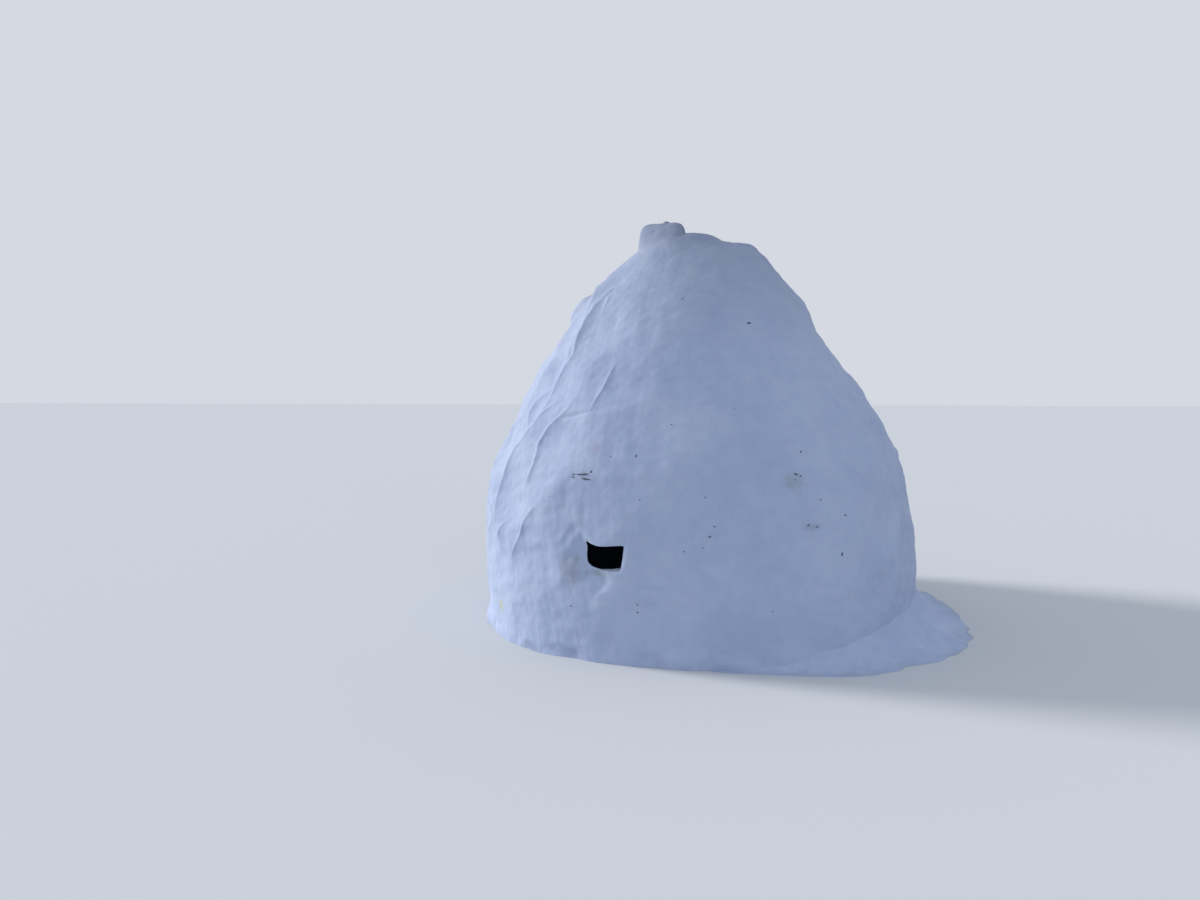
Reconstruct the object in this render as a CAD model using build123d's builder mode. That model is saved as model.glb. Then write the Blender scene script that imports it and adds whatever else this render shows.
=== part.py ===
"""A tall snow igloo, in millimetres.

The wall is a closed shell of packed snow raised in eight rings, called courses. Each ring stands on a bed
that slopes down towards the inside, so the courses lean on each other as they close in, and a key block
fills the last hole. Rolled lumps of snow lie on the crown and one on the left shoulder, and loose snow is
banked against the right-hand foot. A small lookout window goes through the second course at the front,
and an arched doorway through the lowest three courses at the back.

The frame: X to the right and Y to the back as seen from the front, Z up, with the origin on the ground at
the middle of the footprint, the banked snow included. Directions are degrees round from the right.
"""

import os
from collections import namedtuple
from math import atan2, cos, exp, floor, hypot, radians, sin, tan

from build123d import *

# One bed of the wall: the height of its outer edge, and how far the outer face is from the dome's axis there
Bed = namedtuple("Bed", "height left right front back")
beds = [
    Bed(0, 1500, 1540, 1520, 1520),
    Bed(390, 1535, 1550, 1545, 1545),
    Bed(780, 1530, 1525, 1535, 1535),
    Bed(1110, 1475, 1450, 1465, 1465),
    Bed(1420, 1325, 1295, 1310, 1310),
    Bed(1710, 1150, 1100, 1125, 1125),
    Bed(1990, 985, 900, 945, 945),
    Bed(2260, 795, 745, 770, 770),
    Bed(2480, 600, 560, 580, 580),
    Bed(2620, 430, 425, 430, 430),
]
past_crown = Bed(2650, 300, 300, 300, 300)  # the wall's curve heads for this ring past the crown's rim
plan_squareness = 2.3  # 2 is a round plan, and more is squarer at the corners
inner_points = 16  # that each ring's curve passes through on the smooth inner face
outer_points = 72  # and on the outer face
rings_a_course = 3  # of the outer face
foot_wall = 360  # wall thickness, square to the surface, at the foot
crown_wall = 250  # and at the crown
core_roof_radius = 150  # flat top of the hollow
foot_ring_shares = [7 / 16, 10 / 16, -1 / 16]  # of the lowest three rings: a point on the curve through them
crown_round = 45  # rounding of the crown's rim

# The flanks and the back are patted on in handfuls, in staggered rows. Each leaves a shallow bowl, and the
# bowls meet in crests. The front, the foot and the crown are smoothed over.
handfuls = 16  # in a row
handful_rise = 370  # from one row to the next
handful_reach = 280  # from the middle of a bowl to the far end of its crests
handful_depth = 52
handful_stray = 0.22  # how far a bowl's middle strays from its place, as a share of its width and its rise
front_direction = 278  # middle of the part that is smoothed over, and how far that reaches to each side
front_spread = 52
patted_from = 100  # heights where the handfuls begin to show and where they show in full
patted_full = 700
patted_until = 2350  # and where they begin to fade again
patted_end = 2560

# The main ridges of the left flank, where two handfuls meet: heights and directions along each crest
ridge_crest = 34
ridge_spread = 75  # how far from the crest it has sunk to about a third
ridges = [
    [(2370, 228.7), (2190, 220.2), (1950, 222), (1840, 224.8), (1500, 222)],
    [(2420, 203), (2260, 214), (2080, 217.8), (1840, 221.4), (1720, 221)],
    [(1560, 226.5), (1390, 221.7), (1240, 217.1), (970, 214.7), (750, 213.6)],
]

# Where the blocks of each course meet, so that no upright joint stands over another
course_joints = [
    [90, 141, 193, 244, 296, 347, 399],
    [90, 166, 219, 270, 321, 374],
    [52, 128, 192, 244, 296, 348],
    [10, 88, 162, 226, 312],
    [48, 126, 194, 262, 340],
    [4, 90, 164, 278],
    [47, 128, 220, 322],
    [0, 105, 250],
]

door_width = 600
door_height = 880  # to the top of the round arch, in the middle of the back

window_x = -522  # its middle, from the dome's axis
window_sill = 567
window_width = 237
window_height = 171  # at the left-hand jamb
window_dip = 30  # how far the head falls from there to its lowest point
window_dip_x = 80  # and how far that point is from the left-hand jamb
window_head_right = 157  # height of the head over the sill at the right-hand jamb
window_cut = 41  # how much of the lower left corner is filled in
window_splay = 23  # how far the foot of the right-hand jamb stands in
window_depths = [1620, 950]  # in front of the axis, between which it widens towards the inside
window_flare = 50  # how much wider it gets to each side
window_drop = 110  # and how much deeper
scoop_radius = 170  # the ball that the snow is scooped away with, to the left of the hole and below it
scoop_depth = 75
scoop_height = 585
scoop_direction = 246

# The clods on the crown: where each begins and ends along X, from the dome's axis, and its height over the crown
knob_span = (-418, -79)
knob_height = 205
ridge_span = (-79, 185)
ridge_height = 128
ridge_end_span = (185, 418)
ridge_end_height = 66
clod_reach = 420  # how far their fronts and ends are from the dome's axis
clod_back = 235  # and their flat backs
clod_corner = 60  # rounding of their corners
clod_round = 50  # and of their tops

shoulder_radius = 240
shoulder_height = 2230
shoulder_direction = 165
shoulder_proud = 60  # how far the lump stands out of the wall

bank_height = 420
bank_width = 380
bank_directions = [-64, -34, 0, 34, 64]
bank_shares = [0.2, 0.8, 1, 0.8, 0.2]  # how much of its height and width the bank has in each direction
bank_hollow = 0.3  # its slope passes through this share of the width and the height: under 0.5 is hollow
bank_bite = 200  # how far its section runs into the wall before it is cut to seat on it
bank_toe = 15  # thickness of its outer edge

dome_axis_x = (max(bed.left for bed in beds) - beds[1].right - bank_width) / 2  # centres the footprint
reach = 2400  # past everything, for the shapes that cut
dome_axis = Axis((dome_axis_x, 0, 0), (0, 0, 1))
crown = len(beds) - 1


def side_reach(bed, direction):
    """How far a bed's outer face is from the axis in one direction: four quarters of a superellipse."""
    a = radians(direction)
    across = bed.right if cos(a) > 0 else bed.left
    along = bed.back if sin(a) > 0 else bed.front
    n = plan_squareness
    return (abs(cos(a) / across) ** n + abs(sin(a) / along) ** n) ** (-1 / n)


def from_axis(distance, direction):
    """The X and Y of a point so far from the dome's axis."""
    a = radians(direction)
    return dome_axis_x + distance * cos(a), distance * sin(a)


def turn_between(direction, middle):
    """Degrees from the middle direction, -180 to 180."""
    return (direction - middle + 180) % 360 - 180


def smooth_step(value, low, high):
    """0 up to the low value and 1 from the high one, with a smooth rise between."""
    t = min(1, max(0, (value - low) / (high - low)))
    return t * t * (3 - 2 * t)


def handful_relief(distance, direction, height):
    """How far the bowls leave the outer face from the plain dome: a parabola about the nearest bowl's middle."""
    pitch = 360 / handfuls
    row, place = height / handful_rise, direction / pitch
    nearest = handful_reach
    for i in range(floor(row) - 1, floor(row) + 2):
        for j in range(floor(place) - 1, floor(place) + 3):
            shift = handful_stray * sin(12.9 * i + 7.3 * (j % handfuls)) + i % 2 / 2
            lift = handful_stray * cos(4.7 * i + 9.1 * (j % handfuls)) + 0.5
            across = (place - j - shift) * radians(pitch) * distance
            nearest = min(nearest, hypot(across, (row - i - lift) * handful_rise))
    front = exp(-((turn_between(direction, front_direction) / front_spread) ** 2))
    shown = smooth_step(height, patted_from, patted_full) * (1 - smooth_step(height, patted_until, patted_end))
    return handful_depth * (1 - front) * shown * ((nearest / handful_reach) ** 2 - 0.45)


def ridge_relief(distance, direction, height):
    """How far the ridges stand out: each sinks from its crest to both sides, and to nothing at its two ends."""
    relief = 0
    for line in ridges:
        for (high, high_turn), (low, low_turn) in zip(line, line[1:]):
            if low <= height < high:
                crest_turn = low_turn + (high_turn - low_turn) * (height - low) / (high - low)
                away = abs(turn_between(direction, crest_turn)) * radians(1) * distance
                along = (height - line[-1][0]) / (line[0][0] - line[-1][0])
                relief += ridge_crest * sin(radians(180) * along) ** 0.5 * exp(-away / ridge_spread)
    return relief


def mean_reach(bed):
    return (bed.left + bed.right + bed.front + bed.back) / 4


def lean(k):
    """How far the wall leans in at a bed, in radians from upright, from the beds below and above it."""
    low, high = beds[max(k - 1, 0)], beds[min(k + 1, crown)]
    return max(0, atan2(mean_reach(low) - mean_reach(high), high.height - low.height))


def wall_at(k):
    return foot_wall + (crown_wall - foot_wall) * beds[k].height / beds[crown].height


def inner_bed(k):
    """The inner end of a bed, where the line square to the wall comes out on the inner face."""
    inset = wall_at(k) * cos(lean(k))
    sides = [side - inset for side in beds[k][1:]]
    return Bed(beds[k].height - wall_at(k) * sin(lean(k)), *sides)


def bed_height(k, distance):
    """Height of a bed at a distance from the axis: a line square to the wall, which turns into a cone."""
    return beds[k].height + tan(lean(k)) * (distance - mean_reach(beds[k]))


def radial_plane(direction):
    """The upright plane through the dome's axis in one direction, with its own X pointing outwards."""
    a = radians(direction)
    return Plane(origin=(dome_axis_x, 0, 0), x_dir=(cos(a), sin(a), 0), z_dir=(sin(a), -cos(a), 0))


def with_foot_ring(rings):
    """The rings with one more between the lowest two, which keeps the wall from swelling out at the foot."""
    low, middle, high = foot_ring_shares
    foot_ring = [low * a + middle * b + high * c for a, b, c in zip(*rings[:3])]
    return [rings[0], Bed(*foot_ring), *rings[1:]]


def ring_between(k, share):
    """The ring a share of the way up a course: a Catmull-Rom curve through the two beds below and the two above."""
    below = Bed(*[2 * a - b for a, b in zip(beds[0], beds[1])])
    around = [below, *beds, past_crown][k : k + 4]
    values = []
    for a, b, c, d in zip(*around):
        bend = (2 * a - 5 * b + 4 * c - d) * share**2 + (3 * b - a - 3 * c + d) * share**3
        values.append(b + (share * (c - a) + bend) / 2)
    return Bed(*values)


def outer_reach(ring, direction):
    """How far the patted outer face is from the axis at a ring, in one direction."""
    plain = side_reach(ring, direction)
    relief = handful_relief(plain, direction, ring.height) + ridge_relief(plain, direction, ring.height)
    return plain + relief


def solid_of_rings(rings, reach_at, points):
    """One smooth solid through a stack of rings, each a closed curve through points at even angles."""
    directions = [360 * i / points for i in range(points)]
    with BuildPart() as form:
        for ring in rings:
            with BuildSketch(Plane.XY.offset(ring.height)):
                with BuildLine():
                    around = [from_axis(reach_at(ring, d), d) for d in directions]
                    add(Edge.make_spline(around, periodic=True, parameters=[*directions, 360]))
                make_face()
        loft()
    return form.part


def ball_centre(height, direction, radius, proud):
    """Where a ball's middle is that stands so far out of the wall, at a height and in a direction."""
    k = max(i for i, bed in enumerate(beds) if bed.height <= height)
    low, high = beds[k], beds[k + 1]
    share = (height - low.height) / (high.height - low.height)
    face = side_reach(low, direction) * (1 - share) + side_reach(high, direction) * share
    tilt = lean(k) * (1 - share) + lean(k + 1) * share
    return (*from_axis(face + (proud - radius) * cos(tilt), direction), height + (proud - radius) * sin(tilt))


outer_rings = [ring_between(k, i / rings_a_course) for k in range(crown) for i in range(rings_a_course)]
with BuildPart() as outer_form:
    add(solid_of_rings([*outer_rings, beds[crown]], outer_reach, outer_points))
    fillet(outer_form.edges().group_by(Axis.Z)[-1], crown_round)
core_roof = Bed(beds[crown].height - crown_wall, *[core_roof_radius] * 4)
inner_rings = [*[inner_bed(k) for k in range(crown)], core_roof]
core_form = solid_of_rings(with_foot_ring(inner_rings), side_reach, inner_points)

door_spring = door_height - door_width / 2
window_head = window_sill + window_height


with BuildPart() as shell:
    add(outer_form.part)
    add(core_form, mode=Mode.SUBTRACT)
    # The doorway, straight through the back wall
    with BuildSketch(Plane.XZ):
        with Locations((dome_axis_x, 0)):
            Rectangle(door_width, 2 * door_spring)
        with Locations((dome_axis_x, door_spring)):
            Circle(door_width / 2)
    extrude(amount=-reach, mode=Mode.SUBTRACT)
    # The window, dug through the front wall and wider on the inside
    for depth, flare, drop in zip(window_depths, (0, window_flare), (0, window_drop)):
        left = dome_axis_x + window_x - window_width / 2 - flare
        right = dome_axis_x + window_x + window_width / 2 + flare
        sill = window_sill - drop
        with BuildSketch(Plane.XZ.offset(depth)):
            with BuildLine():
                Polyline(
                    (left, sill + window_cut),
                    (left, window_head),
                    (left + window_dip_x, window_head - window_dip),
                    (right, window_sill + window_head_right),
                    (right - window_splay, sill),
                    (left + window_dip_x, sill),
                    close=True,
                )
            make_face()
    loft(ruled=True, mode=Mode.SUBTRACT)
    with Locations(ball_centre(scoop_height, scoop_direction, scoop_radius, 2 * scoop_radius - scoop_depth)):
        Sphere(scoop_radius, mode=Mode.SUBTRACT)


def block_of_course(course, start, arc):
    """The part of the shell between two beds and two upright joints."""
    inside = mean_reach(inner_bed(course + 1)) / 2
    with BuildPart() as block:
        with BuildSketch(radial_plane(start)):
            with BuildLine():
                Polyline(
                    (inside, bed_height(course, inside)),
                    (reach, bed_height(course, reach)),
                    (reach, bed_height(course + 1, reach)),
                    (inside, bed_height(course + 1, inside)),
                    close=True,
                )
            make_face()
        revolve(axis=dome_axis, revolution_arc=arc)
        add(shell.part, mode=Mode.INTERSECT)
    return block.part


def key_block():
    """What closes the dome above the last bed: a plug that hangs on that bed's cone."""
    last = len(course_joints)
    with BuildPart() as plug:
        with BuildSketch(radial_plane(0)):
            with BuildLine():
                Polyline(
                    (0, bed_height(last, 0)),
                    (reach, bed_height(last, reach)),
                    (0, bed_height(last, reach)),
                    close=True,
                )
            make_face()
        revolve(axis=dome_axis)
        add(shell.part, mode=Mode.INTERSECT)
    return plug.part


def side_name(direction):
    names = ["right", "back_right", "back", "back_left", "left", "front_left", "front", "front_right"]
    return names[round(direction / 45) % 8]


pieces = {}
for course, joints in enumerate(course_joints):
    for start, end in zip(joints, joints[1:] + [joints[0] + 360]):
        name = f"course_{course + 1}_{side_name((start + end) / 2)}"
        if name in pieces:
            raise ValueError(name)
        pieces[name] = block_of_course(course, start, end - start)
pieces["key_block"] = key_block()

crown_height = beds[crown].height


def clod(span, height):
    """A squared clod on the crown between two places along X: its front follows the crown's rim."""
    foot = crown_height - crown_round
    with BuildPart() as lump:
        with BuildSketch(Plane.XY.offset(foot)) as outline:
            with Locations((dome_axis_x, 0)):
                Circle(clod_reach)
            with Locations((dome_axis_x + sum(span) / 2, (clod_back - reach) / 2)):
                Rectangle(span[1] - span[0], clod_back + reach, mode=Mode.INTERSECT)
            fillet(outline.vertices(), clod_corner)
        extrude(amount=crown_round + height)
        fillet(lump.edges().group_by(Axis.Z)[-1], clod_round)
    return lump.part


with BuildPart() as crown_knob:
    add(clod(knob_span, knob_height))
    add(outer_form.part, mode=Mode.SUBTRACT)
pieces["crown_knob"] = crown_knob.part

with BuildPart() as crown_ridge:
    add(clod(ridge_span, ridge_height))
    add(clod(ridge_end_span, ridge_end_height))
    add(outer_form.part, mode=Mode.SUBTRACT)
pieces["crown_ridge"] = crown_ridge.part

with BuildPart() as shoulder_lump:
    with Locations(ball_centre(shoulder_height, shoulder_direction, shoulder_radius, shoulder_proud)):
        Sphere(shoulder_radius)
    add(outer_form.part, mode=Mode.SUBTRACT)
pieces["shoulder_lump"] = shoulder_lump.part

with BuildPart() as snow_bank:
    for direction, share in zip(bank_directions, bank_shares):
        foot = side_reach(beds[1], direction)
        width, height = bank_width * share, bank_height * share
        with BuildSketch(radial_plane(direction)):
            with BuildLine():
                Polyline(
                    (foot, height),
                    (foot - bank_bite, height),
                    (foot - bank_bite, 0),
                    (foot + width, 0),
                    (foot + width, bank_toe),
                )
                ThreePointArc(
                    (foot + width, bank_toe),
                    (foot + width * bank_hollow, height * bank_hollow),
                    (foot, height),
                )
            make_face()
    loft()
    add(outer_form.part, mode=Mode.SUBTRACT)
pieces["snow_bank"] = snow_bank.part

os.makedirs("parts", exist_ok=True)
for name, piece in pieces.items():
    piece.label = name
    export_step(piece, f"parts/{name}.step")
print("cubic metres of snow:", round(sum(piece.volume for piece in pieces.values()) / 1e9, 4))
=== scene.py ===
"""The looks of a tall snow igloo, in metres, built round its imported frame.

Each solid of the frame gets a piece of dressed snow that takes its place. The blocks of the wall are cut from
one surface, so their joints close without a step, as they do on a wall that was smoothed over by hand.
Directions are degrees round from the right, so the front is at 270, and heights are over the ground.
"""

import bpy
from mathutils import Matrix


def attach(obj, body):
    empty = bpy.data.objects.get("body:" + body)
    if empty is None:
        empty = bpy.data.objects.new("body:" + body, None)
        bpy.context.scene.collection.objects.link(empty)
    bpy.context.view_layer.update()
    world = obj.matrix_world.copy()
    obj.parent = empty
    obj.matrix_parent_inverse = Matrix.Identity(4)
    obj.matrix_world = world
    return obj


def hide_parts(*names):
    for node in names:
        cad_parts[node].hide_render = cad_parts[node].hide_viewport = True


bl_info = {
    "name": "Snow Igloo",
    "version": (1, 0, 0),
    "blender": (4, 5, 0),
    "location": "3D View > Sidebar > Igloo",
    "description": "Dresses the blocks, lumps and bank of a snow igloo in packed snow",
    "category": "Add Mesh",
}

from functools import lru_cache
from math import atan2, ceil, cos, pi, radians, sin, sqrt

import bpy
import numpy as np
from mathutils import Vector

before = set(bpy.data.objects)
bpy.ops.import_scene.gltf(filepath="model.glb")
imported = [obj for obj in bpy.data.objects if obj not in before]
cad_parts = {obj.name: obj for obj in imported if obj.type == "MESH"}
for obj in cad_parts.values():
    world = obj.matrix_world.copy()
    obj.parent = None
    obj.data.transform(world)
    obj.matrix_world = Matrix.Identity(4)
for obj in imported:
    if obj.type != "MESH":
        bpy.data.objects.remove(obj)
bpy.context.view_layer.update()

# The wall's beds from the ground up: height, then the reach of the outer face from the dome's axis to the
# left, right, front and back. The last three rings close the crown.
BEDS = np.array([
    (0.000, 1.500, 1.540, 1.520, 1.520),
    (0.390, 1.535, 1.550, 1.545, 1.545),
    (0.780, 1.530, 1.525, 1.535, 1.535),
    (1.110, 1.475, 1.450, 1.465, 1.465),
    (1.420, 1.325, 1.295, 1.310, 1.310),
    (1.710, 1.150, 1.100, 1.125, 1.125),
    (1.990, 0.985, 0.900, 0.945, 0.945),
    (2.260, 0.795, 0.745, 0.770, 0.770),
    (2.480, 0.600, 0.560, 0.580, 0.580),
    (2.620, 0.430, 0.425, 0.430, 0.430),
    (2.650, 0.300, 0.300, 0.300, 0.300),
    (2.660, 0.150, 0.150, 0.150, 0.150),
    (2.662, 0.004, 0.004, 0.004, 0.004),
])
LAST_BED = 9  # the crown's rim, which the key block closes
FINE_STEPS = 200  # from one bed to the next, where a height is looked up
POLE_REACH = 0.100  # the outer face gets smooth from here to its top
SQUARENESS = 2.3  # of the plan, where 2 is round
FOOT_WALL = 0.360
CROWN_WALL = 0.250
ROOF_RING = 0.150  # reach of the hollow's flat top

# Where the blocks of each course meet
COURSE_JOINTS = [
    [90, 141, 193, 244, 296, 347, 399],
    [90, 166, 219, 270, 321, 374],
    [52, 128, 192, 244, 296, 348],
    [10, 88, 162, 226, 312],
    [48, 126, 194, 262, 340],
    [4, 90, 164, 278],
    [47, 128, 220, 322],
    [0, 105, 250],
]
SIDES = ["right", "back_right", "back", "back_left", "left", "front_left", "front", "front_right"]

# The outer mesh has two columns to a degree, and four on the left flank, where the ridges are
FLANK = (192, 256)
DIRECTIONS = np.sort(np.concatenate([np.arange(0, 360, 0.5), np.arange(*FLANK, 0.5) + 0.25]))
COLUMNS = len(DIRECTIONS)

# Waves over the whole outer and inner faces, from broad to fine: height and length
WALL_WAVES = [(0.009, 0.75), (0.005, 0.30), (0.0025, 0.13), (0.0011, 0.065)]
ROOM_WAVES = [(0.006, 0.35), (0.003, 0.12)]
ROOM_GROOVE = 0.012  # depth of the joints between the blocks, inside
CALM_FRONT = (276, 44)  # middle of the calmer front, and how far that reaches to each side
CALM_SHARE = 0.6  # of the waves' height, which the front lacks
FLAT_FLANK = (198, 26)  # the same for the left flank, which is a little flatter than the plain dome
FLAT_DEPTH = 0.032
FLAT_FOOT = (-0.25, 0.25)  # heights between which it gets flat, which starts below the ground
FLAT_TOP = (1.35, 1.75)  # heights between which it gets full again

# The flanks and the back are patted on in handfuls, in staggered rows. Each leaves a shallow bowl, and the
# bowls meet in crests. The front, the foot and the crown are smoothed over.
HANDFULS = 16  # in a row
HANDFUL_RISE = 0.370  # from one row to the next
HANDFUL_REACH = 0.280  # from the middle of a bowl to the far end of its crests
HANDFUL_DEPTH = 0.052
HANDFUL_STRAY = 0.22  # how far a bowl's middle strays from its place, as a share of its width and its rise
PLAIN_LEVEL = 0.45  # share of its depth at which a bowl crosses the plain dome
CREST_POWER = 12  # of the mean that joins the bowls: the higher, the sharper their crests
SMOOTH_FRONT = (278, 52)  # middle of the part that is smoothed over, and how far that reaches to each side
SMOOTH_FOOT = (0.10, 0.70)  # heights between which the handfuls come out of the smooth foot
SMOOTH_CROWN = (2.35, 2.56)  # heights between which they are smoothed over again

# Sharp ridges on the left flank: how far the crest stands out, how wide it is towards the left and the front,
# and its line as heights and directions
RIDGES = [
    (0.025, 0.06, 0.15, [
        (2.37, 228.7), (2.29, 223.2), (2.19, 220.2), (2.07, 220.5), (1.95, 222), (1.84, 224.8), (1.74, 222.6),
        (1.65, 222), (1.58, 223), (1.50, 222),
    ]),
    (0.024, 0.06, 0.14, [
        (2.42, 203), (2.36, 208), (2.26, 214), (2.17, 214.6), (2.08, 217.8), (2.00, 219), (1.92, 219.5),
        (1.84, 221.4), (1.72, 221),
    ]),
    (0.022, 0.06, 0.12, [(1.64, 221.5), (1.55, 216), (1.47, 215.4), (1.40, 217.5)]),
    (0.027, 0.07, 0.14, [
        (1.56, 226.5), (1.47, 223), (1.39, 221.7), (1.30, 219.1), (1.24, 217.1), (1.15, 216.8), (1.06, 215.8),
        (0.97, 214.7), (0.90, 214.8), (0.82, 215.4), (0.75, 213.6),
    ]),
    (0.021, 0.06, 0.13, [
        (1.52, 233.1), (1.45, 230.7), (1.375, 228.2), (1.29, 227.3), (1.20, 228), (1.10, 227.6),
        (1.02, 226.2),
    ]),
    (0.020, 0.07, 0.12, [
        (1.47, 210), (1.38, 203), (1.29, 195.5), (1.20, 196), (1.14, 202), (1.03, 205), (0.94, 208),
    ]),
    (0.012, 0.07, 0.06, [(1.80, 243.5), (1.70, 242.5), (1.63, 242.2), (1.55, 241.1), (1.49, 240.8)]),
    (0.014, 0.08, 0.07, [(0.92, 232), (0.82, 229.1), (0.73, 227.7), (0.63, 225.4), (0.56, 224)]),
    (0.012, 0.08, 0.07, [(0.80, 221.4), (0.74, 219), (0.68, 217.2), (0.58, 217)]),
    (0.009, 0.05, 0.09, [(2.27, 225.6), (2.23, 225.8), (2.17, 225.8), (2.12, 226.2)]),
]
SOFT_SHARE = 0.45  # of a ridge's height, in its soft swell
EDGE_SHARE = 0.75  # of its height, in the sharp crest on that
EDGE_WIDTH = 0.20  # the crest's width, as a share of the ridge's
# Thin creases where one handful of snow ends on another: depth, width, and the line
CREASES = [
    (0.010, 0.012, [(1.455, 231), (1.472, 235.6), (1.486, 239.7), (1.500, 243)]),
    (0.006, 0.010, [(0.463, 257.5), (0.478, 260.3), (0.470, 263), (0.462, 265)]),
    (0.003, 0.018, [(1.035, 244.6), (0.90, 245), (0.77, 245.5)]),
    (0.004, 0.012, [(0.800, 279.9), (0.790, 273.7), (0.775, 271)]),
]
# Swells and dips on the outline: direction, height, radius and how far they stand out
SWELLS = [
    (335, 1.58, 0.045, 0.020),
    (341, 1.22, 0.055, 0.024),
    (336, 1.07, 0.050, 0.018),
    (352, 2.615, 0.050, 0.010),
    (353, 2.520, 0.140, -0.038),
    (350, 2.470, 0.040, 0.008),
    (350, 2.400, 0.080, -0.012),
    (351, 2.270, 0.060, -0.022),
    (348, 0.950, 0.400, -0.026),
    (188, 2.365, 0.045, 0.020),
    (165, 2.210, 0.270, 0.022),
    (210, 1.78, 0.110, 0.026),
    (206, 1.60, 0.120, 0.006),
]
CRUMBLY_RIM = (350, 42)  # where the crown's rim is most crumbly, and how far that reaches to each side
CRUMBLY_FROM = (2.30, 2.48)  # heights between which the crumbs set in
CRUMBLY_LEAST = 0.10  # share of them on the other side
LOOSE_FOOT = (0.02, 0.14)  # heights between which the loose snow of the foot ends

# The window's outline from the front, from the dome's axis, and the doorway's sizes
WINDOW = [
    (-0.641, 0.738), (-0.600, 0.718), (-0.560, 0.708), (-0.480, 0.716), (-0.404, 0.724), (-0.412, 0.650),
    (-0.427, 0.576), (-0.480, 0.566), (-0.548, 0.567), (-0.596, 0.582), (-0.624, 0.606), (-0.630, 0.650),
    (-0.628, 0.697),
]
WINDOW_FLARE = (0.110, 0.170, 0.020)  # how much further it reaches to each side, down and up inside the wall
WINDOW_LIP = (0.005, 0.028)  # how far its edge is rounded off, and how wide
DOOR_WIDTH = 0.600
DOOR_HEIGHT = 0.880
DOOR_LIP = (0.030, 0.075)
OPENINGS_FROM = 0.8  # the window is further than this in front of the dome's axis, and the doorway behind it
SCOOP_REACH = 0.150  # how far the hollow to the left of the window and below it reaches from its outline
SCOOP_DEPTH = 0.042
SCOOP_CORNER = (0.080, -0.060)  # where the hollow starts, from the window's top left corner
SCOOP_SLOPE = 0.6  # of the hollow's edge, which runs down to the right
SCOOP_EDGE = 0.120  # width of that edge

# Stains and patches of painted shade: direction, height, how far they reach along and up, colour and strength
STAINS_AND_SHADE = [
    (292.5, 1.100, 0.095, 0.070, "#6F7568", 0.26),
    (295.8, 0.840, 0.100, 0.032, "#77808F", 0.34),
    (245.0, 1.281, 0.070, 0.060, "#8A8496", 0.30),
    (216.4, 0.205, 0.050, 0.075, "#A0A65A", 0.75),
    # Partly dirt and partly painted shade, in the hollow to the left of the window and below it
    (242.6, 0.555, 0.120, 0.130, "#7B7A8A", 0.45),
    # A darker patch at the foot
    (229.9, 0.030, 0.100, 0.050, "#69728A", 0.50),
    # Painted shade under the window's sill, and beside its left jamb
    (248.7, 0.548, 0.100, 0.032, "#75867F", 0.50),
    (244.3, 0.655, 0.034, 0.080, "#75867F", 0.45),
    (268.0, 1.800, 0.200, 0.140, "#8998B4", 0.30),
]
# Chips of dirt: direction, height, length and turn from level
CHIPS = [
    (263.9, 2.215, 0.020, 20), (292.2, 2.055, 0.032, 4), (295.8, 1.272, 0.018, 60),
    (293.7, 1.137, 0.026, -15), (294.6, 1.128, 0.016, 30), (298.3, 0.991, 0.014, 0),
    (304.3, 0.896, 0.018, 0), (302.9, 0.665, 0.026, 75), (273.7, 0.790, 0.020, 10),
    (272.0, 0.721, 0.012, 0), (268.0, 0.702, 0.012, 40), (257.9, 0.332, 0.016, 20),
    (258.2, 0.383, 0.014, 80), (242.4, 0.328, 0.016, 0), (263.9, 1.424, 0.012, 0),
    (249.7, 1.238, 0.014, 30), (256.1, 1.242, 0.018, 80), (258.1, 0.992, 0.012, 0),
    (272.5, 1.017, 0.012, 20), (274.6, 0.847, 0.014, 0), (245.8, 1.147, 0.022, 30),
    (292.9, 1.112, 0.012, 10), (295.0, 0.846, 0.018, 5), (296.8, 0.838, 0.016, -10),
    (302.8, 0.068, 0.045, 25), (236.0, 0.980, 0.010, 0), (281.0, 1.520, 0.010, 0),
    (287.0, 0.350, 0.012, 30),
]
# Dark straws pressed into the snow: start, middle and end as directions and heights, and thickness
STRAWS = [
    ((241.0, 1.124), (243.4, 1.126), (245.3, 1.132), 0.0085),
    ((243.6, 1.106), (244.6, 1.103), (246.0, 1.101), 0.0075),
    ((241.1, 1.117), (241.5, 1.108), (242.0, 1.104), 0.0070),
]
STRAW_SIDES = 10

# Painted light and shade: the snow is painted a little lighter at the foot and darker towards the crown,
# as the light fell. Height, and the share of its colour's light that is left
PAINTED_LIGHT_AND_SHADE = [(0.0, 0.98), (1.1, 0.88), (1.9, 0.86), (2.60, 0.69), (2.70, 0.56), (2.84, 0.46)]


def along_beds(table, steps):
    """Rings between those of a table: a Catmull-Rom curve through each column, whole steps at its rows."""
    padded = np.vstack([2 * table[0] - table[1], table, 2 * table[-1] - table[-2]])
    k = np.clip(np.floor(steps).astype(int), 0, len(table) - 2)
    u = (steps - k)[:, None]
    a, b, c, d = (padded[k + i] for i in range(4))
    return 0.5 * (2 * b + (c - a) * u + (2 * a - 5 * b + 4 * c - d) * u**2 + (3 * b - a - 3 * c + d) * u**3)


def ring_points(rings, directions):
    """Points of rings in given directions: four quarters of a superellipse about the dome's axis."""
    c, s = np.cos(np.radians(directions)), np.sin(np.radians(directions))
    height, left, right, front, back = np.moveaxis(rings, -1, 0)
    across = np.where(c > 0, right, left)
    along = np.where(s > 0, back, front)
    reach = (np.abs(c / across) ** SQUARENESS + np.abs(s / along) ** SQUARENESS) ** (-1 / SQUARENESS)
    return np.stack([axis_x() + reach * c, reach * s, height + 0 * reach], axis=-1)


def axis_x():
    """Where the dome's axis stands along X."""
    return bpy.context.scene.igloo_sizes.axis_x


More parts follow.
